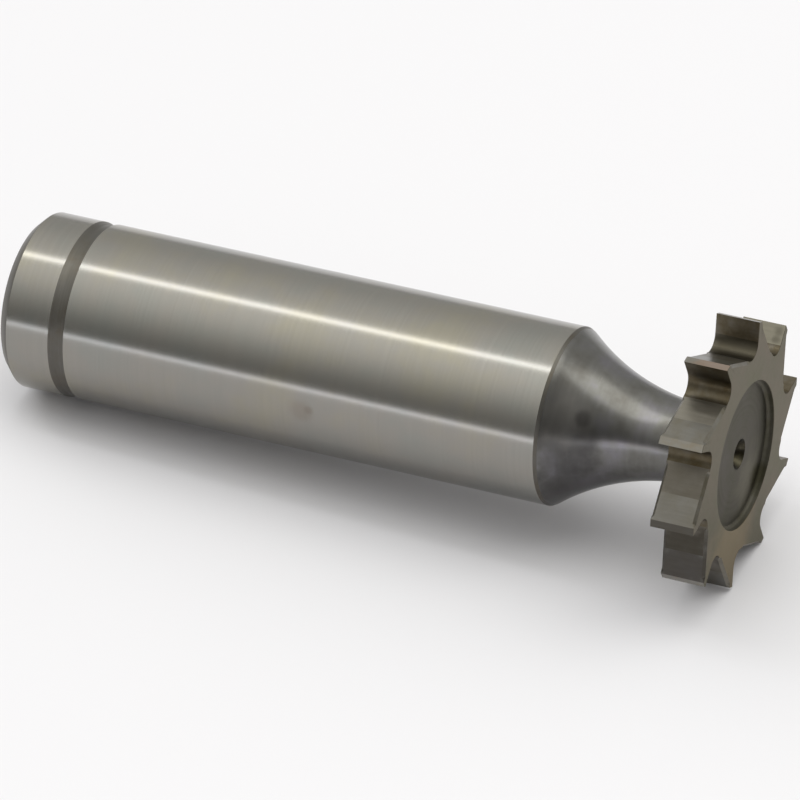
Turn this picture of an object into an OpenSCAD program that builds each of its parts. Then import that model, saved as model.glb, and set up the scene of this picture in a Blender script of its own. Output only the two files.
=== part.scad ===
// Woodruff keyseat cutter, ground from one blank of tool steel: a plain shank with a shallow groove near its
// rear end, a neck that sweeps in to a slim waist, and a narrow toothed wheel that cuts the half-round keyseat.
// It lies as it comes to rest, on the shank's rear rim and on two neighbouring tooth tips, with Z up, the
// cutting end towards +X and the origin under the middle of its box.

/* [Shank] */
// Diameter of the ground shank
shank_d = 12.7; // [11:0.05:14]
// Length of the shank from the rear face to where the neck starts
shank_len = 41.3; // [30:0.1:70]
// Chamfer round the rear face
rear_chamfer = 0.75; // [0.4:0.05:1.2]
// Chamfer between the ground shank and the neck, measured on the radius
shoulder_chamfer = 0.12; // [0.05:0.01:0.3]
// Distance from the rear face to the front wall of the groove
groove_pos = 5.2; // [4:0.1:8]
// Width of the groove
groove_w = 1.1; // [0.8:0.05:2]
// Depth of the groove
groove_depth = 0.15; // [0.05:0.01:0.4]
// Length of the groove's sloping rear side
groove_ramp = 0.4; // [0.1:0.05:0.6]

/* [Neck] */
// Diameter of the neck where it meets the wheel
neck_d = 5.6; // [4.6:0.1:7]
// Length of the neck from the shank to the wheel
neck_len = 9.8; // [7:0.1:14]
// Fillet between the neck and the back of the wheel
neck_fillet = 0.3; // [0.1:0.05:0.6]

/* [Wheel] */
// Diameter over the tooth tips
wheel_d = 19.4; // [18.6:0.1:24]
// Width of the wheel, which is the width of the keyseat
wheel_w = 3.175; // [2.4:0.025:5]
// Diameter of the recess in the front face
recess_d = 10.6; // [6:0.1:11]
// Depth of the recess
recess_depth = 0.5; // [0.3:0.05:0.8]
// Fillet round the floor of the recess
recess_fillet = 0.25; // [0.1:0.05:0.28]

/* [Teeth] */
// Number of teeth
teeth = 10; // [9:1:12]
// Depth of a gullet below the tooth tips
tooth_depth = 2.5; // [1.8:0.05:2.8]
// Radius at the bottom of a gullet
gullet_r = 1; // [0.6:0.05:1.2]
// Rake of the cutting face, in degrees from the radius
rake = 5; // [0:0.5:10]
// Length of the narrow land behind a cutting edge
land_len = 0.55; // [0.2:0.05:0.8]
// Relief of the land, in degrees from the tip circle
land_relief = 12; // [6:1:20]
// Bevel along both edges of a tooth's back
back_bevel = 0.2; // [0.1:0.05:0.4]

/* [Centre holes] */
// Diameter of the countersink in the front hole
front_sink_d = 2.2; // [1.8:0.1:2.8]
// Diameter of the front pilot hole
front_pilot_d = 1.15; // [0.8:0.05:1.4]
// Depth of the front hole below the recess floor
front_hole_depth = 2.6; // [2:0.1:4]
// Diameter of the countersink in the rear hole
rear_sink_d = 3.2; // [2.4:0.1:5]
// Diameter of the rear pilot hole
rear_pilot_d = 1.6; // [1:0.1:2]
// Depth of the rear hole
rear_hole_depth = 4.5; // [3:0.1:6]

/* [Hidden] */
$fn = 96;

// Sixty-degree centres fit the countersinks, and the pilots end in the point of a standard drill
centre_half_angle = 30;
drill_half_angle = 59;
// Overlap that lets a cutting shape pass cleanly through a face
clear = 0.2;
// A gullet's circle is this much over size, so that it cuts both flanks instead of only touching them
gullet_overcut = 0.002;
// Length of the back that keeps its sharp edges beside the gullet, and again beside the heel
bevel_margin = 0.12;
// The neck's core runs this far into the shank and into the wheel, so that they are one solid
core_overlap = 1;

shank_r = shank_d / 2;
neck_r = neck_d / 2;
tip_r = wheel_d / 2;
root_r = tip_r - tooth_depth;
pitch = 360 / teeth;

wheel_back = shank_len + neck_len;
wheel_front = wheel_back + wheel_w;

// The neck's profile is one arc that leaves the shoulder at a slant and runs out parallel to the axis
shoulder_r = shank_r - shoulder_chamfer;
neck_drop = shoulder_r - neck_r;
neck_arc_r = (neck_len * neck_len + neck_drop * neck_drop) / (2 * neck_drop);

// A tooth space is drawn beside one tip: x runs along the rim to the next tip, and y runs out along the radius
function length2(p) = sqrt(p[0] * p[0] + p[1] * p[1]);
function unit(p) = p / length2(p);
function turned(p, a) = [p[0] * cos(a) - p[1] * sin(a), p[0] * sin(a) + p[1] * cos(a)];

rake_dir = [-sin(rake), -cos(rake)];
rake_normal = [cos(rake), -sin(rake)];
// The gullet's arc touches the cutting face and the root circle
arc_start = [0, tip_r] + gullet_r * rake_normal;
arc_reach = -arc_start * rake_dir;
arc_slide = arc_reach - sqrt(arc_reach * arc_reach - arc_start * arc_start + pow(root_r + gullet_r, 2));
gullet_centre = arc_start + arc_slide * rake_dir;
rake_foot = gullet_centre - gullet_r * rake_normal;
// The next tip, and the heel of the land behind it
next_tip = tip_r * [sin(pitch), cos(pitch)];
behind_tip = [-cos(pitch), sin(pitch)];
heel = next_tip + land_len * (cos(land_relief) * behind_tip - sin(land_relief) * next_tip / tip_r);
// The back is the straight line from the heel that runs into the gullet's arc
heel_from_arc = heel - gullet_centre;
back_foot = gullet_centre
    + gullet_r * turned(unit(heel_from_arc), -acos(gullet_r / length2(heel_from_arc)));
back_len = length2(heel - back_foot);
back_slope = atan2(heel[1] - back_foot[1], heel[0] - back_foot[0]);

// Tips lie half a pitch each side of the wheel's +x direction, which points down at the table
function tip_angle(k) = pitch * (k + 0.5);
function on_wheel(p, k) = turned([p[1], p[0]], tip_angle(k));

// Rest: the wheel rolls until one tip and the heel of the next land touch the table, and the axis tilts until
// the shank's rear rim touches it too
rest_tip = on_wheel([0, tip_r], -1);
rest_heel = on_wheel(heel, -1);
rest_roll = atan2(rest_heel[0] - rest_tip[0], rest_heel[1] - rest_tip[1]);
rest_wheel_r = turned(rest_tip, rest_roll)[0];
rest_tilt = atan((rest_wheel_r - shank_r) / (wheel_back - rear_chamfer));
rest_height = shank_r * cos(rest_tilt) - rear_chamfer * sin(rest_tilt);
rear_x = min((rear_chamfer - shank_r) * sin(rest_tilt),
             rear_chamfer * cos(rest_tilt) - shank_r * sin(rest_tilt));
front_x = wheel_front * cos(rest_tilt) + rest_wheel_r * sin(rest_tilt);

// Turned body: shank, chamfers and groove, with the neck's arc taken out of a plain collar
module shank_profile() {
    difference() {
        polygon([
            [0, 0],
            [shank_r - rear_chamfer, 0],
            [shank_r, rear_chamfer],
            [shank_r, shank_len - 2 * shoulder_chamfer],
            [shoulder_r, shank_len],
            [0, shank_len]
        ]);
        polygon([
            [shank_r + clear, groove_pos - groove_w],
            [shank_r, groove_pos - groove_w],
            [shank_r - groove_depth, groove_pos - groove_w + groove_ramp],
            [shank_r - groove_depth, groove_pos],
            [shank_r + clear, groove_pos]
        ]);
    }
}

module neck_profile() {
    difference() {
        translate([0, shank_len - core_overlap])
            square([shoulder_r, core_overlap + neck_len + core_overlap]);
        translate([neck_r + neck_arc_r, wheel_back])
            circle(r = neck_arc_r, $fn = 240);
    }
    // Fillet against the wheel
    difference() {
        translate([0, wheel_back - neck_fillet])
            square([neck_r + neck_fillet, neck_fillet + core_overlap]);
        translate([neck_r + neck_fillet, wheel_back - neck_fillet])
            circle(r = neck_fillet, $fn = 48);
    }
}

module turned_body() {
    rotate_extrude($fn = 180) {
        shank_profile();
        neck_profile();
    }
}

// Outline of the toothed wheel: cutting face, gullet arc, straight back and land, tooth after tooth
module wheel_outline() {
    difference() {
        polygon([
            for (k = [0 : teeth - 1])
                for (p = [[0, tip_r], rake_foot, back_foot, heel])
                    on_wheel(p, k)
        ]);
        for (k = [0 : teeth - 1])
            translate(on_wheel(gullet_centre, k))
                circle(r = gullet_r + gullet_overcut, $fn = 72);
    }
}

// Bevel along the front edge of one tooth's back, between the gullet and the heel
module edge_bevel() {
    start = back_foot + bevel_margin * unit(heel - back_foot);
    translate([start[1], start[0], wheel_w])
        rotate([0, 0, 90 - back_slope])
            rotate([90, 0, 90])
                linear_extrude(back_len - 2 * bevel_margin)
                    polygon([
                        [-clear, clear],
                        [back_bevel + clear, clear],
                        [-clear, -back_bevel - clear]
                    ]);
}

module wheel() {
    translate([0, 0, wheel_back])
        difference() {
            linear_extrude(wheel_w)
                wheel_outline();
            for (k = [0 : teeth - 1])
                rotate(tip_angle(k)) {
                    edge_bevel();
                    translate([0, 0, wheel_w])
                        mirror([0, 0, 1])
                            edge_bevel();
                }
        }
}

// Round recess in the front face, with a filleted floor
module front_recess() {
    recess_r = recess_d / 2;
    translate([0, 0, wheel_front - recess_depth])
        rotate_extrude($fn = 120) {
            translate([0, recess_fillet])
                square([recess_r, recess_depth - recess_fillet + clear]);
            square([recess_r - recess_fillet, recess_fillet + clear]);
            translate([recess_r - recess_fillet, recess_fillet])
                circle(r = recess_fillet, $fn = 48);
        }
}

// Centre-drilled hole that opens upwards at z = 0: countersink, pilot and drill point
module centre_hole(sink_d, pilot_d, depth) {
    sink_depth = (sink_d - pilot_d) / 2 / tan(centre_half_angle);
    point_depth = pilot_d / 2 / tan(drill_half_angle);
    rotate_extrude($fn = 60)
        polygon([
            [0, clear],
            [sink_d / 2 + clear * tan(centre_half_angle), clear],
            [pilot_d / 2, -sink_depth],
            [pilot_d / 2, point_depth - depth],
            [0, -depth]
        ]);
}

module cutter() {
    color([0.56, 0.55, 0.53])
        translate([-(rear_x + front_x) / 2, 0, rest_height])
            rotate([0, 90 - rest_tilt, 0])
                rotate([0, 0, rest_roll])
                    difference() {
                        union() {
                            turned_body();
                            wheel();
                        }
                        front_recess();
                        translate([0, 0, wheel_front - recess_depth])
                            centre_hole(front_sink_d, front_pilot_d, front_hole_depth);
                        mirror([0, 0, 1])
                            centre_hole(rear_sink_d, rear_pilot_d, rear_hole_depth);
                    }
}

cutter();
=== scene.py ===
"""Woodruff keyseat cutter: the visual model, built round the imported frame.

The whole tool is one closed surface of revolution that opens out into the toothed wheel. Its sizes are the
source's own, in millimetres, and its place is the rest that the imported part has.
"""

import math

import bpy
import numpy as np
from mathutils import Matrix, Quaternion, Vector


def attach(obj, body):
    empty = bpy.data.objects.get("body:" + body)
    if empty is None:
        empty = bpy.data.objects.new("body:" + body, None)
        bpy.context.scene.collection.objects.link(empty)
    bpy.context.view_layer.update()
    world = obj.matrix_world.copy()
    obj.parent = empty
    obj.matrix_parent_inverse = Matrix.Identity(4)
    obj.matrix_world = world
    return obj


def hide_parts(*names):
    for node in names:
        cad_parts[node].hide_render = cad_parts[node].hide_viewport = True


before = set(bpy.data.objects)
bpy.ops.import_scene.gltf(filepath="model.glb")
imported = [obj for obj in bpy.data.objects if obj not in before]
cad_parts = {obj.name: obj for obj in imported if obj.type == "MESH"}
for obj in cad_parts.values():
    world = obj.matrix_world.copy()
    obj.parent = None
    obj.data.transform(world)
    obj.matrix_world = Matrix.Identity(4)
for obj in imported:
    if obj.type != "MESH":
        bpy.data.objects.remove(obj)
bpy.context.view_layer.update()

bl_info = {
    "name": "Woodruff keyseat cutter",
    "version": (1, 0, 0),
    "blender": (4, 5, 0),
    "location": "3D View > Sidebar > Cutter",
    "description": "Builds a shank-type keyseat cutter with its ground, turned and milled finishes",
    "category": "Object",
}

MM = 0.001
# The finishes that the surface has, in the order of its material slots
ZONES = [
    "ground", "turned", "neck", "side", "recess", "wall", "face", "milled", "inner", "relief", "land", "bevel",
    "sink", "drilled",
]
COLUMNS_PER_TOOTH = 48
# Inner share of a tooth's straight back that is still as milled; the outer rest was ground in the relief
MILLED_SHARE = 0.52
# Breaks of edges that are otherwise sharp, in mm: on the teeth, and on turned corners
TOOTH_EDGE = 0.02
TURNED_EDGE = 0.03
# The bevel of a back grows from the first to the last of these distances from its ends, in mm
BEVEL_RAMP = (0.06, 0.18, 0.32)
# The lines on the wheel's flat sides begin to lean with the teeth this far below the gullets, in mm
LEAN_MARGIN = 0.3
# A corner is moved in along its bisector, by more the sharper it is, down to this cosine
MITRE_LIMIT = 0.65
# The first of the evenly spaced directions of the round parts lies this far before the first tip
ROUND_START = math.radians(5.5)
# Radius per depth of a drill point of 118 degrees and of a countersink of 60 degrees
DRILL_SLOPE, SINK_SLOPE = math.tan(math.radians(59)), math.tan(math.radians(30))
# Faces that meet at more than this angle have a sharp edge between them
SHARP_ANGLE = math.radians(22)
# Levels of the cloud noise at which a finish has its first tint, its base colour and its second tint
CLOUD_STOPS = (0.32, 0.5, 0.68)


def to_linear(hex_colour):
    """An sRGB hex colour as linear red, green and blue with alpha 1."""
    parts = [int(hex_colour[i : i + 2], 16) / 255 for i in (1, 3, 5)]
    return tuple(c / 12.92 if c <= 0.04045 else ((c + 0.055) / 1.055) ** 2.4 for c in parts) + (1.0,)


def size(label, millimetres, about):
    """A length that the sidebar shows in the scene's unit, given in millimetres."""
    return bpy.props.FloatProperty(
        name=label, description=about, default=millimetres * MM, min=0.0, unit="LENGTH", precision=5
    )


def colour(label, hex_colour, about):
    """A colour that the sidebar shows, given as sRGB hex."""
    return bpy.props.FloatVectorProperty(
        name=label, description=about, default=to_linear(hex_colour), size=4, min=0.0, max=1.0, subtype="COLOR"
    )


class CutterSizes(bpy.types.PropertyGroup):
    """The sizes that drive the whole tool."""

    shank_diameter: size("Shank diameter", 12.7, "Diameter of the ground shank")
    shank_length: size("Shank length", 41.3, "From the rear face to where the neck starts")
    rear_chamfer: size("Rear chamfer", 0.75, "Chamfer round the rear face")
    shoulder_chamfer: size("Shoulder chamfer", 0.12, "Chamfer between shank and neck, on the radius")
    groove_place: size("Groove place", 5.2, "From the rear face to the groove's front wall")
    groove_width: size("Groove width", 1.1, "Width of the groove")
    groove_depth: size("Groove depth", 0.15, "Depth of the groove")
    groove_ramp: size("Groove ramp", 0.4, "Length of the groove's sloping rear side")
    neck_diameter: size("Neck diameter", 5.6, "Diameter of the neck at the wheel")
    neck_length: size("Neck length", 9.8, "From the shank to the wheel")
    neck_fillet: size("Neck fillet", 0.3, "Fillet between neck and wheel")
    wheel_diameter: size("Wheel diameter", 19.4, "Diameter over the tooth tips")
    wheel_width: size("Wheel width", 3.175, "Width of the wheel")
    recess_diameter: size("Recess diameter", 10.6, "Diameter of the front recess")
    recess_depth: size("Recess depth", 0.5, "Depth of the front recess")
    recess_fillet: size("Recess fillet", 0.25, "Fillet round the recess floor")
    teeth: bpy.props.IntProperty(name="Teeth", description="Number of teeth", default=10, min=3)
    tooth_depth: size("Tooth depth", 2.5, "Depth of a gullet below the tips")
    gullet_radius: size("Gullet radius", 1.0, "Radius at the bottom of a gullet")
    rake: bpy.props.FloatProperty(
        name="Rake", description="Rake of a cutting face", default=math.radians(5), subtype="ANGLE"
    )
    land_length: size("Land length", 0.55, "Length of the land behind a cutting edge")
    land_relief: bpy.props.FloatProperty(
        name="Land relief", description="Relief of the land", default=math.radians(12), subtype="ANGLE"
    )
    back_bevel: size("Back bevel", 0.2, "Bevel along both edges of a tooth's back")
    front_hole_diameter: size("Front hole diameter", 2.2, "Diameter of the front countersink")
    front_pilot_diameter: size("Front pilot diameter", 1.15, "Diameter of the front pilot hole")
    front_hole_depth: size("Front hole depth", 2.6, "Depth of the front hole below the recess")
    rear_hole_diameter: size("Rear hole diameter", 3.2, "Diameter of the rear countersink")
    rear_pilot_diameter: size("Rear pilot diameter", 1.6, "Diameter of the rear pilot hole")
    rear_hole_depth: size("Rear hole depth", 4.5, "Depth of the rear hole")


class CutterFinishes(bpy.types.PropertyGroup):
    """The colours of the tool's finishes and of the stage."""

    ground: colour("Ground steel", "#908D87", "Cylindrically ground shank")
    turned: colour("Turned steel", "#5F5C56", "Turned groove, chamfers and rear face")
    neck: colour("Neck", "#6B6A67", "Turned and polished neck")
    side: colour("Wheel sides", "#5B574C", "Ground sides of the wheel")
    recess: colour("Recess", "#474540", "Turned recess")
    # Paler than the recess floor: painted light for the light that the rounded wall catches
    wall: colour("Recess wall", "#646157", "Rounded wall of the recess")
    face: colour("Cutting faces", "#5F584A", "Cutting faces, brown with dried oil")
    milled: colour("Gullets", "#575042", "Milled bottoms of the gullets")
    inner: colour("Inner backs", "#6F6A61", "Inner part of the backs, still milled")
    relief: colour("Outer backs", "#77746D", "Ground outer part of the backs")
    land: colour("Lands", "#7F7C75", "Narrow lands behind the cutting edges")
    bevel: colour("Bevels", "#77736A", "Bevels along the backs")
    # The holes' colours are dark with painted shade, for the shade inside them
    sink: colour("Countersinks", "#2E2B24", "Countersinks of the centre holes")
    drilled: colour("Pilot holes", "#3C382E", "Drilled pilots of the centre holes")
    floor: colour("Floor", "#EBEAEE", "Studio floor")


def in_mm(sizes):
    """The lengths of the sizes in millimetres, by name; numbers and angles as they are."""
    found = {}
    for key in CutterSizes.__annotations__:
        value = getattr(sizes, key)
        found[key] = value if key in ("teeth", "rake", "land_relief") else value / MM
    return found


def turned_by(points, angle):
    """Points of the plane turned about the origin: (x cos a - y sin a, x sin a + y cos a)."""
    c, s = math.cos(angle), math.sin(angle)
    return points @ np.array([[c, s], [-s, c]])


def tooth_space(d):
    """Corners of one tooth space, with x along the rim to the next tip and y out along the radius.

    The gullet's arc touches the cutting face, which leans back by the rake, and the root circle. The back is the
    straight line from the heel of the next tip's land that runs into the arc as its tangent."""
    tip_r = d["wheel_diameter"] / 2
    root_r = tip_r - d["tooth_depth"]
    r, rake, relief = d["gullet_radius"], d["rake"], d["land_relief"]
    pitch = 2 * math.pi / d["teeth"]
    rake_dir = np.array([-math.sin(rake), -math.cos(rake)])
    rake_normal = np.array([math.cos(rake), -math.sin(rake)])
    start = np.array([0, tip_r]) + r * rake_normal
    reach = -start @ rake_dir
    slide = reach - math.sqrt(reach**2 - start @ start + (root_r + r) ** 2)
    centre = start + slide * rake_dir
    next_tip = tip_r * np.array([math.sin(pitch), math.cos(pitch)])
    behind = np.array([-math.cos(pitch), math.sin(pitch)])
    heel = next_tip + d["land_length"] * (math.cos(relief) * behind - math.sin(relief) * next_tip / tip_r)
    gap = heel - centre
    far = math.hypot(*gap)
    foot_dir = turned_by(gap / far, -math.acos(r / far))
    return {
        "tip_r": tip_r,
        "pitch": pitch,
        "centre": centre,
        "tip": np.array([0, tip_r]),
        "rake_foot": centre - r * rake_normal,
        "back_foot": centre + r * foot_dir,
        "foot_dir": foot_dir,
        "heel": heel,
        "next_tip": next_tip,
    }


def rest_of(d, space):
    """How the tool lies: its roll, its tilt, its height and the middle of its length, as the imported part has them.

    The wheel rolls until one tip and the heel of the next are level, and the axis tilts until the rear rim of the
    shank is level with them too."""

    def on_first(corner):
        """A corner of the tooth space whose middle lies on the first flat direction."""
        return turned_by(np.array([corner[1], corner[0]]), -space["pitch"] / 2)

    tip, heel = on_first(space["tip"]), on_first(space["heel"])
    roll = math.atan2(heel[0] - tip[0], heel[1] - tip[1])
    low_r = turned_by(tip, roll)[0]
    shank_r, chamfer = d["shank_diameter"] / 2, d["rear_chamfer"]
    wheel_back = d["shank_length"] + d["neck_length"]
    tilt = math.atan((low_r - shank_r) / (wheel_back - chamfer))
    height = shank_r * math.cos(tilt) - chamfer * math.sin(tilt)
    rear_x = min((chamfer - shank_r) * math.sin(tilt), chamfer * math.cos(tilt) - shank_r * math.sin(tilt))
    front_x = (wheel_back + d["wheel_width"]) * math.cos(tilt) + low_r * math.sin(tilt)
    return {"roll": roll, "tilt": tilt, "rear": np.array([-(rear_x + front_x) / 2, 0, height])}


def wheel_columns(d, space, roll):
    """The toothed outline as columns: points, ways out, bevels, zones, and directions for round and leaning rows.

    Each tooth takes its share of columns: cutting face, gullet arc, back and land. The bevel grows from the plain
    edge break to its full width over a short ramp at both ends of the back. The round directions are spaced
    evenly. The leaning ones turn each column to its own tooth, so that a line from there to the outline stays
    inside it."""
    centre, r = space["centre"], d["gullet_radius"]
    tip, foot, back, heel = space["tip"], space["rake_foot"], space["back_foot"], space["heel"]
    share = np.linspace(0, 1, 9)[:-1, None]
    face = tip + share * (foot - tip)
    first = math.atan2(*(foot - centre)[::-1])
    last = math.atan2(*space["foot_dir"][::-1]) % (2 * math.pi)
    turn = first + (last - first) * np.linspace(0, 1, 13)[:-1]
    arc = centre + r * np.stack([np.cos(turn), np.sin(turn)], 1)
    length = math.hypot(*(heel - back))
    border = MILLED_SHARE * length
    run = np.concatenate([
        [0, *BEVEL_RAMP],
        np.linspace(0.5, border - 0.02, 6),
        np.linspace(border + 0.02, length - 0.5, 6),
        [length - away for away in reversed(BEVEL_RAMP)],
    ])
    straight = back + run[:, None] / length * (heel - back)
    full = d["back_bevel"]
    ramps = [BEVEL_RAMP[0], BEVEL_RAMP[-1], length - BEVEL_RAMP[-1], length - BEVEL_RAMP[0]]
    bevel = np.interp(run, ramps, [TOOTH_EDGE, full, full, TOOTH_EDGE])
    land_count = COLUMNS_PER_TOOTH - len(face) - len(arc) - len(straight)
    land = heel + np.linspace(0, 1, land_count + 1)[:-1, None] * (space["next_tip"] - heel)
    one = np.concatenate([face, arc, straight, land])
    wide = np.concatenate([
        np.full(len(face) + len(arc), TOOTH_EDGE),
        bevel,
        np.full(len(land), TOOTH_EDGE),
    ])
    zone = np.concatenate([
        np.full(len(face), ZONES.index("face")),
        np.full(len(arc), ZONES.index("milled")),
        np.where(run < border, ZONES.index("inner"), ZONES.index("relief")),
        np.full(len(land), ZONES.index("land")),
    ])
    tips = space["pitch"] * (np.arange(d["teeth"]) + 0.5) + roll
    points = np.concatenate([turned_by(one[:, ::-1], a) for a in tips])
    ahead = np.roll(points, -1, 0) - points
    side = np.stack([ahead[:, 1], -ahead[:, 0]], 1) / np.linalg.norm(ahead, axis=1)[:, None]
    both = side + np.roll(side, 1, 0)
    both /= np.linalg.norm(both, axis=1)[:, None]
    outward = both / np.maximum((both * side).sum(1), MITRE_LIMIT)[:, None]
    step = space["pitch"] / COLUMNS_PER_TOOTH
    start = tips[0] - ROUND_START
    angles = start + step * np.arange(len(points))
    round_dir = np.stack([np.cos(angles), np.sin(angles)], 1)
    # The leaning directions pass a little before the foot of the cutting face and the heel, in radians
    ends = np.cumsum([0, len(face), len(arc), len(straight), len(land)])
    polar = [math.atan2(*corner) for corner in (foot, back, heel)]
    first_lean = start - tips[0]
    wanted = [first_lean, polar[0] - 0.01, polar[1], polar[2] - 0.09, first_lean + space["pitch"]]
    leaning = np.interp(np.arange(COLUMNS_PER_TOOTH), ends, wanted)
    leaning = (tips[:, None] + leaning).ravel()
    tooth_dir = np.stack([np.cos(leaning), np.sin(leaning)], 1)
    return points, outward, np.tile(wide, d["teeth"]), np.tile(zone, d["teeth"]), round_dir, tooth_dir


def cutter_rows(d, columns):
    """The surface as rows from the front hole's point to the rear hole's point.

    A round row is radius times direction at one distance along the axis. A row on the wheel's flat sides runs in
    straight lines from a circle to the toothed outline, moved in by its bevel. Each row also says what finish the
    band after it has. Rows a few hundredths of a mm from an edge, or at 0.02 or 0.03 of a length from its end, keep
    the shading of a face flat up to the edge."""
    points, outward, wide, outline_zone, round_dir, tooth_dir = columns
    count = len(points)
    rows, stations, zones = [], [], []

    def add_row(flat, station, zone):
        rows.append(flat)
        stations.append(np.broadcast_to(station, count))
        zones.append(np.broadcast_to(zone if not isinstance(zone, str) else ZONES.index(zone), count))

    def ring(radius, station, zone):
        add_row(radius * round_dir, station, zone)

    shank_r, neck_r = d["shank_diameter"] / 2, d["neck_diameter"] / 2
    back = d["shank_length"] + d["neck_length"]
    front = back + d["wheel_width"]
    floor = front - d["recess_depth"]
    recess_r, fillet = d["recess_diameter"] / 2, d["recess_fillet"]

    # Front centre hole, from the drill point out to the recess floor
    pilot, sink = d["front_pilot_diameter"] / 2, d["front_hole_diameter"] / 2
    bottom = floor - d["front_hole_depth"]
    for share in (0.3, 0.97, 1.0):
        ring(share * pilot, bottom + share * pilot / DRILL_SLOPE, "drilled")
    sink_end = floor - (sink - pilot) / SINK_SLOPE
    for share in (0.03, 0.5, 0.98, 1.0):
        top = bottom + pilot / DRILL_SLOPE
        ring(pilot, top + share * (sink_end - top), "drilled" if share < 1 else "sink")
    for share in (0.03, 0.5, 0.97):
        ring(pilot + share * (sink - pilot), sink_end + share * (floor - sink_end), "sink")
    ring(sink, floor, "recess")
    for share in (0.02, 0.25, 0.5, 0.75, 0.98):
        ring(sink + share * (recess_r - fillet - sink), floor, "recess")
    for turn in np.radians([0, 15, 30, 45, 60, 75, 90]):
        ring(recess_r - fillet + fillet * math.sin(turn), floor + fillet * (1 - math.cos(turn)), "wall")
    ring(recess_r, front - TURNED_EDGE, "side")

    # Front side, tooth flanks and back side
    inset = points - outward * wide[:, None]
    rim = (recess_r + TURNED_EDGE) * round_dir
    inner = (d["wheel_diameter"] / 2 - d["tooth_depth"] - LEAN_MARGIN) * tooth_dir
    edge_zone = np.where(wide > TURNED_EDGE, ZONES.index("bevel"), ZONES.index("side"))
    for share in (0.0, 0.5):
        add_row(rim + share * (inner - rim), front, "side")
    for share in (0.0, 0.5):
        add_row(inner + share * (inset - inner), front, "side")
    add_row(inset, front, edge_zone)
    add_row(points, front - wide, outline_zone)
    plain_width = d["wheel_width"] - 2 * d["back_bevel"]
    for share in (0.15, 0.5, 0.85):
        add_row(points, front - d["back_bevel"] - share * plain_width, outline_zone)
    add_row(points, back + wide, edge_zone)
    for share in (1.0, 0.5, 0.0):
        add_row(inner + share * (inset - inner), back, "side")
    root = (neck_r + d["neck_fillet"]) * round_dir
    for share in (0.6, 0.3, 0.03):
        add_row(root + share * (inner - root), back, "side")

    # Fillet, neck arc and shoulder
    for turn in np.radians([90, 75, 60, 45, 30, 15]):
        fillet_out = d["neck_fillet"] * (1 - math.cos(turn))
        ring(neck_r + fillet_out, back - d["neck_fillet"] * (1 - math.sin(turn)), "neck")
    shoulder_r = shank_r - d["shoulder_chamfer"]
    drop = shoulder_r - neck_r
    arc_r = (d["neck_length"] ** 2 + drop**2) / (2 * drop)
    for away in np.linspace(d["neck_fillet"] * 0.95, d["neck_length"], 26)[:-1]:
        ring(neck_r + arc_r - math.sqrt(arc_r**2 - away**2), back - away, "neck")
    ring(shoulder_r, d["shank_length"], "turned")
    shank_end = d["shank_length"] - 2 * d["shoulder_chamfer"]
    ring(shank_r, shank_end, "ground")

    # Ground shank with its groove
    groove = d["groove_place"]
    for station in np.linspace(shank_end - 0.1, groove + 0.1, 9):
        ring(shank_r, station, "ground")
    ring(shank_r, groove + TURNED_EDGE, "turned")
    ring(shank_r - TURNED_EDGE, groove, "turned")
    ring(shank_r - d["groove_depth"], groove, "turned")
    ramp_end = groove - d["groove_width"]
    ramp_start = ramp_end + d["groove_ramp"]
    ring(shank_r - d["groove_depth"], ramp_start + 0.08, "turned")
    ring(shank_r - d["groove_depth"] * 0.97, ramp_start - 0.03, "turned")
    ring(shank_r - d["groove_depth"] * 0.03, ramp_end + 0.03, "turned")
    ring(shank_r, ramp_end - 0.06, "ground")
    chamfer = d["rear_chamfer"]
    for station in np.linspace(ramp_end - 0.3, chamfer + 0.15, 4):
        ring(shank_r, station, "ground")
    ring(shank_r, chamfer + TURNED_EDGE, "turned")
    ring(shank_r - TURNED_EDGE, chamfer - TURNED_EDGE, "turned")
    ring(shank_r - chamfer + TURNED_EDGE, TURNED_EDGE, "turned")
    ring(shank_r - chamfer - TURNED_EDGE, 0, "turned")

    # Rear face and its centre hole
    pilot, sink = d["rear_pilot_diameter"] / 2, d["rear_hole_diameter"] / 2
    for radius in np.linspace(shank_r - chamfer - 0.2, sink + 0.1, 6):
        ring(radius, 0, "turned")
    ring(sink, 0, "sink")
    depth = d["rear_hole_depth"]
    sink_end = (sink - pilot) / SINK_SLOPE
    for share in (0.03, 0.5, 0.97, 1.0):
        ring(sink + share * (pilot - sink), share * sink_end, "sink" if share < 1 else "drilled")
    top = depth - pilot / DRILL_SLOPE
    for share in (0.03, 0.5, 0.98, 1.0):
        ring(pilot, sink_end + share * (top - sink_end), "drilled")
    for share in (0.03, 0.7):
        ring(pilot * (1 - share), top + share * pilot / DRILL_SLOPE, "drilled")
    return np.array(rows), np.array(stations), np.array(zones), (bottom, depth)


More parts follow.
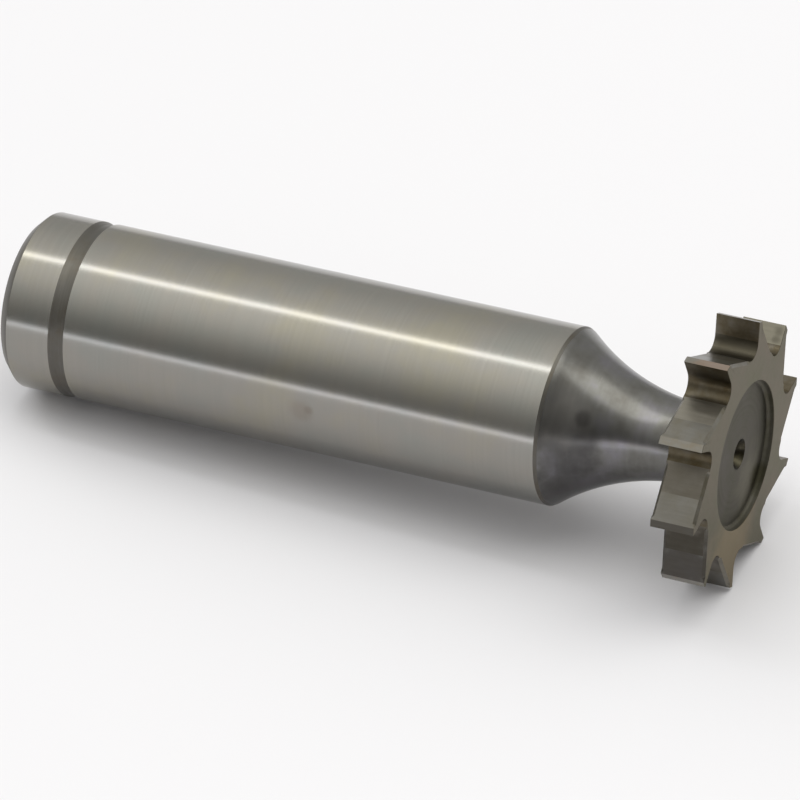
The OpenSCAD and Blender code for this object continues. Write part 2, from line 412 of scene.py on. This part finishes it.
def closed_mesh(name, points, zones, ends):
    """A mesh from a grid of rows that closes round its columns and ends in one point each way.

    Row i and column j give point i * columns + j; each band is a strip of quads, and each end a fan of triangles
    round its last point. If the volume by the divergence theorem is negative, all faces are turned over."""
    rows, columns = points.shape[:2]
    vertices = np.concatenate([points.reshape(-1, 3), ends])
    index = np.arange(rows * columns).reshape(rows, columns)
    after = np.roll(index, -1, 1)
    quads = np.stack([index[:-1], after[:-1], after[1:], index[1:]], -1).reshape(-1, 4)
    first, last = rows * columns, rows * columns + 1
    fans = np.concatenate([
        np.stack([after[0], index[0], np.full(columns, first)], 1),
        np.stack([index[-1], after[-1], np.full(columns, last)], 1),
    ])
    halves = np.concatenate([quads[:, [0, 1, 2]], quads[:, [0, 2, 3]], fans])
    a, b, c = (vertices[halves[:, k]] for k in range(3))
    if (np.cross(a, b) * c).sum() < 0:
        quads, fans = quads[:, ::-1], fans[:, ::-1]
    loops = np.concatenate([quads.ravel(), fans.ravel()])
    starts = np.concatenate([np.arange(len(quads)) * 4, len(quads) * 4 + np.arange(len(fans)) * 3])
    mesh = bpy.data.meshes.new(name)
    mesh.vertices.add(len(vertices))
    mesh.vertices.foreach_set("co", vertices.astype(np.float32).ravel())
    mesh.loops.add(len(loops))
    mesh.loops.foreach_set("vertex_index", loops.astype(np.int32))
    mesh.polygons.add(len(starts))
    mesh.polygons.foreach_set("loop_start", starts.astype(np.int32))
    kinds = np.concatenate([zones[:-1].ravel(), np.full(len(fans), ZONES.index("drilled"))])
    mesh.polygons.foreach_set("material_index", kinds.astype(np.int32))
    mesh.polygons.foreach_set("use_smooth", np.ones(len(starts), bool))
    mesh.update(calc_edges=True)
    mesh.set_sharp_from_angle(angle=SHARP_ANGLE)
    return mesh


def add(tree, kind, inputs=None, stops=None, **settings):
    """Adds a node with its settings. An input that is a socket is linked, and any other is set."""
    node = tree.nodes.new(kind)
    for key, value in settings.items():
        setattr(node, key, value)
    for key, value in (inputs or {}).items():
        socket = node.inputs[key]
        if isinstance(value, bpy.types.NodeSocket):
            tree.links.new(value, socket)
        else:
            socket.default_value = value
    if stops:
        ramp = node.color_ramp
        while len(ramp.elements) < len(stops):
            ramp.elements.new(0.5)
        for element, (place, value) in zip(ramp.elements, stops):
            element.position = place
            element.color = value
    return node


def start_finish(name, rest, roughness):
    """A new metal material with the tool's own coordinates in millimetres: x along the axis, z up across it."""
    material = bpy.data.materials.new(name)
    material.use_nodes = True
    tree = material.node_tree
    shader = tree.nodes["Principled BSDF"]
    shader.inputs["Metallic"].default_value = 1.0
    shader.inputs["Roughness"].default_value = roughness
    place = add(tree, "ShaderNodeTexCoord")
    tool = add(
        tree,
        "ShaderNodeMapping",
        {
            "Vector": place.outputs["Object"],
            "Location": Vector(rest["rear"] * MM),
            "Rotation": (0, -rest["tilt"], 0),
            "Scale": (MM, MM, MM),
        },
        vector_type="TEXTURE",
    ).outputs[0]
    return material, tree, shader, tool


def stretched_noise(tree, tool, scale, **inputs):
    """Noise whose grain is set apart along the axis and across it by a scale for each, per millimetre."""
    stretched = add(tree, "ShaderNodeMapping", {"Vector": tool, "Scale": scale}).outputs[0]
    values = {"Vector": stretched, "Scale": 1.0, "Detail": 3.0, "Roughness": 0.55}
    values.update(inputs)
    return add(tree, "ShaderNodeTexNoise", values).outputs["Fac"]


def ring_noise(tree, tool, per_mm):
    """Noise that changes with the distance from the axis only, as the rings of a facing cut do."""
    flat = add(tree, "ShaderNodeVectorMath", {0: tool, 1: (0, 1, 1)}, operation="MULTIPLY").outputs[0]
    radius = add(tree, "ShaderNodeVectorMath", {0: flat}, operation="LENGTH").outputs["Value"]
    return add(
        tree,
        "ShaderNodeTexNoise",
        {"W": radius, "Scale": per_mm, "Detail": 2.0, "Roughness": 0.5},
        noise_dimensions="1D",
    ).outputs["Fac"]


def mixed(tree, amount, first, second, blend="MIX"):
    """First colour mixed with the second by an amount."""
    sockets = {0: amount, 6: first, 7: second}
    return add(tree, "ShaderNodeMix", sockets, data_type="RGBA", blend_type=blend).outputs[2]


def ranged(tree, value, low, high, before, after, kind="LINEAR"):
    """A value that goes from before to after as another goes from low to high, straight or as a smooth step."""
    limits = {"Value": value, "From Min": low, "From Max": high, "To Min": before, "To Max": after}
    return add(tree, "ShaderNodeMapRange", limits, interpolation_type=kind).outputs[0]


def patch(tree, tool, cloud, centre, reach, strength):
    """A darker or paler patch round a point of the tool, for stains and for painted shade and painted highlights:
    its strength there and 0 beyond its reach, in mm.

    1.2 reaches times the cloud, which is about 0.5, are added to the distance, so that the edge is ragged. So the
    patch is full up to about 0.3 of its reach and gone at about 1.0."""
    away = add(tree, "ShaderNodeVectorMath", {0: tool, 1: centre}, operation="DISTANCE").outputs["Value"]
    ragged = add(tree, "ShaderNodeMath", {0: cloud, 1: 1.2 * reach, 2: away}, operation="MULTIPLY_ADD").outputs[0]
    return ranged(tree, ragged, 0.9 * reach, 1.6 * reach, strength, 0.0, "SMOOTHSTEP")


def steel(
    name, rest, base, roughness, *, grain=None, rings=None, detail=3.0, strength, depth, mottle, tints, patches=(),
    edge="#FFFFFF",
):
    """A bare steel finish.

    Its tool marks are noise stretched by the grain, or rings round the axis, both per mm. They change colour and
    gloss by their strength and height by their depth in mm. Mottle is the size of the clouds in mm, and tints are
    the colours that the clouds take. Patches are stains, and painted shade and painted highlights, that the tool
    shows at one place: place, reach, strength and colour. Edge is the tint of what it mirrors at a glancing view."""
    material, tree, shader, tool = start_finish(name, rest, roughness)
    shader.inputs["Specular Tint"].default_value = to_linear(edge)
    lines = ring_noise(tree, tool, rings) if rings else stretched_noise(tree, tool, grain, Detail=detail)
    cloud = stretched_noise(tree, tool, (1 / mottle,) * 3, Detail=4.0, Roughness=0.6)
    colours = (to_linear(tints[0]), base, to_linear(tints[1]))
    tinted = add(tree, "ShaderNodeValToRGB", {"Fac": cloud}, stops=list(zip(CLOUD_STOPS, colours))).outputs[0]
    shade = ranged(tree, lines, 0.3, 0.7, 1 - strength, 1 + 0.6 * strength)
    for centre, reach, amount, spot in patches:
        tinted = mixed(tree, patch(tree, tool, cloud, centre, reach, amount), tinted, to_linear(spot))
    shader_colour = mixed(tree, 1.0, tinted, shade, "MULTIPLY")
    tree.links.new(shader_colour, shader.inputs["Base Color"])
    gloss = ranged(
        tree, lines, 0.25, 0.75, roughness * (1 - 1.5 * strength), roughness * (1 + 1.5 * strength)
    )
    tree.links.new(gloss, shader.inputs["Roughness"])
    bump = add(tree, "ShaderNodeBump", {"Height": lines, "Strength": 1.0, "Distance": depth * MM})
    tree.links.new(bump.outputs[0], shader.inputs["Normal"])
    return material


def finishes(rest, look):
    """The materials in the order of ZONES."""
    return [
        # Cylindrical grinding leaves fine rings round the shank and a bright, slightly hazy mirror. The real rings
        # are 0.05 mm apart and drawn about 0.15 mm apart, so that they show. There is a faint brown stain on the
        # near side
        steel(
            "cylindrically_ground_steel", rest, look.ground, 0.19,
            grain=(7.0, 0.04, 0.04), detail=4.0, strength=0.035, depth=0.00012,
            mottle=6.0, tints=("#938F83", "#8C8C87"),
            patches=[
                ((23.7, -6.34, 0.3), 1.2, 0.22, "#6B5743"),
                ((24.2, -6.33, 0.5), 0.5, 0.22, "#5E4E40"),
            ],
        ),
        # A turning tool leaves a fine thread of marks, so the groove, the chamfers and the rear face look dull
        steel(
            "turned_steel", rest, look.turned, 0.4,
            grain=(9.0, 0.2, 0.2), strength=0.1, depth=0.0015,
            mottle=2.5, tints=("#5C564D", "#62605C"),
        ),
        # The neck is turned and polished with cloth: broad highlights and faint rings. The near side has two dark
        # clouds of painted shade, low down and in the middle near the shoulder, a pale cloud of painted highlight
        # above them and two small dark stains
        steel(
            "polished_neck_steel", rest, look.neck, 0.25,
            grain=(4.0, 0.3, 0.3), detail=5.0, strength=0.07, depth=0.0006,
            mottle=2.4, tints=("#5F5D59", "#716F72"),
            patches=[
                # The first two patches are painted shade, the third is a painted highlight and the last two are
                # stains
                ((43.5, -4.4, -3.0), 5.0, 0.7, "#4E4C4D"),
                ((42.9, -5.0, 0.6), 3.0, 0.55, "#454445"),
                ((42.6, -4.2, 3.1), 2.3, 0.75, "#8C8985"),
                ((43.7, -3.6, 2.9), 0.8, 0.6, "#454241"),
                ((42.4, -4.6, -2.8), 0.9, 0.4, "#454243"),
            ],
        ),
        # The sides are ground flat on the face of a cup wheel, which leaves a soft khaki sheen. The front one is
        # paler and browner low on the near side
        steel(
            "side_ground_steel", rest, look.side, 0.34,
            grain=(1.0, 2.2, 2.2), detail=5.0, strength=0.06, depth=0.0004,
            mottle=3.0, tints=("#61594F", "#565546"),
            patches=[((54.3, -3.5, -6.0), 5.5, 0.85, "#7B6F58")],
            edge="#EBE8E1",
        ),
        # The recess is faced on a lathe and keeps its rings. Low on the far side it is paler, and darker in the
        # corner
        steel(
            "faced_recess_steel", rest, look.recess, 0.42,
            rings=4.0, strength=0.03, depth=0.0003,
            mottle=2.0, tints=("#42423A", "#4C4947"),
            patches=[
                ((53.8, 2.4, -4.2), 4.4, 0.8, "#6A675E"),
                ((53.8, 3.0, -3.8), 1.5, 0.75, "#37341F"),
            ],
            edge="#E8E6DF",
        ),
        # The rounded wall of the recess is paler than the floor, painted light for the light that it catches, and
        # darker low on the far side like the corner of the floor
        steel(
            "recess_wall_steel", rest, look.wall, 0.65,
            grain=(4.0, 0.6, 0.6), strength=0.06, depth=0.0003,
            mottle=2.0, tints=("#5B584B", "#68665E"),
            patches=[((53.9, 3.3, -4.1), 2.0, 0.75, "#3B3825")],
        ),
        # The cutting faces are ground and brown with dried oil. The one on the far side is pale, with two dark
        # spots
        steel(
            "cutting_face_steel", rest, look.face, 0.4,
            grain=(0.4, 4.0, 4.0), strength=0.1, depth=0.001,
            mottle=1.5, tints=("#514836", "#6A655C"),
            patches=[
                ((53.2, 6.9, 5.2), 4.0, 0.9, "#858174"),
                ((53.9, 7.3, 5.6), 0.5, 0.5, "#4A463C"),
                ((53.8, 6.9, 5.1), 0.45, 0.45, "#4A463C"),
            ],
        ),
        # Form-milled gullets keep straight marks along the axis and the brown of dried cutting oil. The top one is
        # darker: painted shade for the shade at the bottom of that gullet
        steel(
            "milled_gullet_steel", rest, look.milled, 0.4,
            grain=(0.4, 4.0, 4.0), strength=0.1, depth=0.001,
            mottle=1.5, tints=("#4B4230", "#625D54"),
            # Painted shade at the bottom of the top gullet
            patches=[((52.7, 2.0, 7.1), 3.5, 0.9, "#474339")],
        ),
        # The inner backs are milled too, with less oil on them. On the near side the lowest is near black with
        # painted shade, for the shade under the tool, the next one up is grey and the one above that is pale
        steel(
            "milled_back_steel", rest, look.inner, 0.38,
            grain=(0.5, 4.5, 4.5), strength=0.09, depth=0.0008,
            mottle=1.5, tints=("#655F54", "#77736C"),
            patches=[
                # Painted shade on the lowest tooth of the near side, which lies in the shade under the tool
                ((52.7, -7.7, -3.6), 4.8, 0.85, "#38352F"),
                ((52.7, -4.6, 6.4), 3.5, 0.75, "#8C887E"),
                ((52.7, -7.3, 2.6), 3.0, 0.7, "#5A564F"),
            ],
        ),
        # The outer backs are ground in the relief, with marks along the axis. On the near side the lowest is near
        # black with painted shade too, and the next one up is a little darker than the rest
        steel(
            "relief_ground_steel", rest, look.relief, 0.34,
            grain=(0.6, 5.0, 5.0), detail=4.0, strength=0.07, depth=0.0006,
            mottle=1.6, tints=("#716D62", "#7A7975"),
            patches=[
                # Painted shade on the lowest tooth of the near side
                ((52.7, -7.8, -4.2), 4.6, 0.85, "#3D3A37"),
                ((52.7, -8.9, 1.0), 3.0, 0.6, "#65625C"),
            ],
        ),
        # The lands are ground last and shine a little more. One on the near side is darker, and a high one has a
        # reddish tinge
        steel(
            "ground_land_steel", rest, look.land, 0.3,
            grain=(0.6, 6.0, 6.0), strength=0.06, depth=0.0005,
            mottle=1.6, tints=("#7C7363", "#827F79"),
            patches=[
                ((52.7, -9.6, 0.0), 5.0, 0.9, "#47443E"),
                ((53.3, -2.9, 9.2), 2.0, 0.6, "#937F72"),
            ],
        ),
        # The bevels are filed by hand and dull, and near black with painted shade on the lowest tooth of the near
        # side
        steel(
            "filed_bevel_steel", rest, look.bevel, 0.42,
            grain=(3.0, 3.0, 3.0), strength=0.08, depth=0.0005,
            mottle=1.6, tints=("#6C675A", "#7C7A74"),
            # Painted shade on the lowest tooth of the near side
            patches=[((52.7, -7.7, -3.6), 4.8, 0.85, "#403D39")],
        ),
        # The countersinks are dark with painted shade, for the shade in the holes, and the front one has a painted
        # highlight at its lower side
        steel(
            "countersunk_steel", rest, look.sink, 0.35,
            grain=(6.0, 0.5, 0.5), strength=0.1, depth=0.001,
            mottle=1.0, tints=("#322E20", "#4E4A3E"),
            # Painted highlight at the lower side of the front countersink
            patches=[((53.45, 0.3, -0.9), 0.6, 0.15, "#8F8970")],
        ),
        # The pilots are drilled and dark with painted shade, for the shade deep in the holes
        steel(
            "drilled_pilot_steel", rest, look.drilled, 0.5,
            grain=(6.0, 0.5, 0.5), strength=0.1, depth=0.001,
            mottle=1.0, tints=("#332E22", "#45423A"),
        ),
    ]


class CUTTER_OT_make_cutter(bpy.types.Operator):
    """Build the keyseat cutter as one closed surface with its finishes"""

    bl_idname = "cutter.make_cutter"
    bl_label = "Make cutter"

    def execute(self, context):
        d = in_mm(context.scene.cutter_sizes)
        space = tooth_space(d)
        rest = rest_of(d, space)
        columns = wheel_columns(d, space, rest["roll"])
        flat, stations, zones, (front_end, rear_end) = cutter_rows(d, columns)
        # Tool to world: the axis rises by the tilt, and the first flat direction points down across it
        c, s = math.cos(rest["tilt"]), math.sin(rest["tilt"])
        along, down, across = np.array([c, 0, s]), np.array([s, 0, -c]), np.array([0, 1, 0])
        points = flat[..., :1] * down + flat[..., 1:] * across + stations[..., None] * along + rest["rear"]
        ends = np.array([rest["rear"] + front_end * along, rest["rear"] + rear_end * along])
        mesh = closed_mesh("keyseat_cutter", points * MM, zones, ends * MM)
        for material in finishes(rest, context.scene.cutter_finishes):
            mesh.materials.append(material)
        cutter = bpy.data.objects.new("keyseat_cutter", mesh)
        context.scene.collection.objects.link(cutter)
        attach(cutter, "root")
        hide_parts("cutter")
        return {"FINISHED"}


def area_lamp(name, place, aim, width, height, radiance, tint=(1, 1, 1), upper_side="Y", turn=0.0):
    """A rectangular lamp at a place, facing a point, whose power is pi times its area times its radiance.

    Its width runs level, or if the upper side is X its width is the side that points up. Then it is turned about
    its own beam by an angle in degrees."""
    data = bpy.data.lights.new(name, "AREA")
    data.shape = "RECTANGLE"
    data.size, data.size_y = width, height
    data.energy = math.pi * width * height * radiance
    data.color = tint
    lamp = bpy.data.objects.new(name, data)
    lamp.location = place
    facing = (Vector(aim) - Vector(place)).to_track_quat("-Z", upper_side)
    lamp.rotation_euler = (facing @ Quaternion((0, 0, 1), math.radians(turn))).to_euler()
    bpy.context.scene.collection.objects.link(lamp)


def add_floor(scene, look):
    """The pale paper floor of the studio, a square of 4 m."""
    mesh = bpy.data.meshes.new("floor")
    half = 2.0
    corners = [(-half, -half, 0), (half, -half, 0), (half, half, 0), (-half, half, 0)]
    mesh.from_pydata(corners, [], [(0, 1, 2, 3)])
    floor = bpy.data.objects.new("floor", mesh)
    scene.collection.objects.link(floor)
    paper = bpy.data.materials.new("matte_paper_floor")
    paper.use_nodes = True
    shader = paper.node_tree.nodes["Principled BSDF"]
    shader.inputs["Base Color"].default_value = look.floor
    shader.inputs["Roughness"].default_value = 1.0
    shader.inputs["Specular IOR Level"].default_value = 0.0
    mesh.materials.append(paper)


def add_dome(scene):
    """The studio dome: dim near the camera's horizon and brighter overhead and behind the tool."""
    world = bpy.data.worlds.new("studio_dome")
    world.use_nodes = True
    scene.world = world
    tree = world.node_tree
    direction = add(tree, "ShaderNodeTexCoord").outputs["Generated"]
    parts = add(tree, "ShaderNodeSeparateXYZ", {"Vector": direction})
    height = add(tree, "ShaderNodeMath", {0: parts.outputs["Z"], 1: 0.0}, operation="MAXIMUM").outputs[0]
    square = add(tree, "ShaderNodeMath", {0: height, 1: height}, operation="MULTIPLY").outputs[0]

    def rise(value, low, high, before, after):
        """A smooth step from one level to another between two values."""
        return ranged(tree, value, low, high, before, after, "SMOOTHSTEP")

    def climb(level, gain):
        """A level at the horizon that gains with the square of the height."""
        return add(tree, "ShaderNodeMath", {0: square, 1: gain, 2: level}, operation="MULTIPLY_ADD").outputs[0]

    def product(first, second):
        """Two levels multiplied."""
        return add(tree, "ShaderNodeMath", {0: first, 1: second}, operation="MULTIPLY").outputs[0]

    # On the camera's side the light comes from one band left of it. Behind the tool it comes from the left and is
    # dim at the horizon
    near = climb(0.3, 1.4)
    near = product(near, product(rise(parts.outputs["X"], -0.85, -0.55, 0.35, 1.0),
                                 rise(parts.outputs["X"], -0.1, 0.35, 1.0, 0.45)))
    far = climb(0.63, 0.63)
    far = product(far, product(rise(parts.outputs["X"], -0.8, -0.5, 2.2, 1.0),
                               rise(parts.outputs["Z"], 0.0, 0.2, 0.8, 1.0)))
    behind = rise(parts.outputs["Y"], -0.3, 0.35, 0.0, 1.0)
    strength = add(tree, "ShaderNodeMix", {0: behind, 2: near, 3: far}, data_type="FLOAT").outputs[0]
    backdrop = tree.nodes["Background"]
    backdrop.inputs["Color"].default_value = to_linear("#FFFFFB")
    tree.links.new(strength, backdrop.inputs["Strength"])


def add_lamps():
    """The lamps, in metres, whose reflections make the lines and the sheen on the polished steel."""
    # Overhead strip, which draws the long bright line on the shank
    area_lamp(
        "overhead_strip", place=(-0.25, 0.015, 0.55), aim=(0, 0, 0.006), width=0.42, height=0.055,
        radiance=3.6, tint=(0.97, 0.99, 1.0), upper_side="X",
    )
    # Soft box over the cutting end, which draws the broad sheen down the neck
    area_lamp(
        "neck_softbox", place=(0.15, 0.03, 0.5), aim=(0.02, 0, 0.006), width=0.56, height=0.28,
        radiance=1.45, tint=(1.0, 1.0, 0.95), upper_side="X", turn=40,
    )
    # Low strip on the floor in front, which draws the thin line on the shank's near side
    area_lamp(
        "low_strip", place=(-0.05, -0.12, 0.003), aim=(-0.05, 0, 0.003), width=0.3, height=0.005,
        radiance=3.1, tint=(0.86, 0.9, 1.0),
    )
    # Small pale-violet panel in front of the neck, for the cool line along its lower half
    area_lamp(
        "neck_panel", place=(0.04, -0.12, 0.0165), aim=(0.04, 0, 0.0165), width=0.06, height=0.009,
        radiance=3.2, tint=(0.96, 0.92, 1.0),
    )


def add_camera(scene):
    """The camera of the photograph, found by fitting the tool's straight edges and circles to it.

    It looks along (-sin a cos e, cos a cos e, -sin e) from azimuth a and elevation e, and is rolled about that."""
    data = bpy.data.cameras.new("camera")
    data.sensor_width = 36.0
    data.lens = 325.8
    data.clip_start, data.clip_end = 0.01, 10.0
    camera = bpy.data.objects.new("camera", data)
    azimuth, elevation, roll = (math.radians(v) for v in (23.137, 36.966, 0.926))
    forward = Vector((
        -math.sin(azimuth) * math.cos(elevation),
        math.cos(azimuth) * math.cos(elevation),
        -math.sin(elevation),
    ))
    level_right = forward.cross(Vector((0, 0, 1))).normalized()
    level_up = level_right.cross(forward)
    right = level_right * math.cos(roll) + level_up * math.sin(roll)
    up = right.cross(forward)
    turn = Matrix((right, up, -forward)).transposed().to_4x4()
    camera.matrix_world = Matrix.Translation((0.160186, -0.372263, 0.310755)) @ turn
    scene.collection.objects.link(camera)
    scene.camera = camera


class CUTTER_OT_set_stage(bpy.types.Operator):
    """Set the floor, the studio light and the camera"""

    bl_idname = "cutter.set_stage"
    bl_label = "Set stage"

    def execute(self, context):
        scene = context.scene
        add_floor(scene, scene.cutter_finishes)
        add_dome(scene)
        add_lamps()
        add_camera(scene)
        scene.view_settings.view_transform = "Standard"
        return {"FINISHED"}


class CUTTER_PT_panel(bpy.types.Panel):
    """Sizes, finishes and the steps that build the cutter"""

    bl_idname = "CUTTER_PT_panel"
    bl_label = "Keyseat cutter"
    bl_space_type = "VIEW_3D"
    bl_region_type = "UI"
    bl_category = "Cutter"

    def draw(self, context):
        scene = context.scene
        for group in (scene.cutter_sizes, scene.cutter_finishes):
            box = self.layout.box()
            for key in group.__annotations__:
                box.prop(group, key)
        for step in (CUTTER_OT_make_cutter, CUTTER_OT_set_stage):
            self.layout.operator(step.bl_idname)


CLASSES = (CutterSizes, CutterFinishes, CUTTER_OT_make_cutter, CUTTER_OT_set_stage, CUTTER_PT_panel)


def register():
    for kind in CLASSES:
        bpy.utils.register_class(kind)
    bpy.types.Scene.cutter_sizes = bpy.props.PointerProperty(type=CutterSizes)
    bpy.types.Scene.cutter_finishes = bpy.props.PointerProperty(type=CutterFinishes)


def unregister():
    del bpy.types.Scene.cutter_finishes
    del bpy.types.Scene.cutter_sizes
    for kind in reversed(CLASSES):
        bpy.utils.unregister_class(kind)


def main():
    register()
    bpy.ops.cutter.make_cutter()
    bpy.ops.cutter.set_stage()


if __name__ == "__main__":
    main()
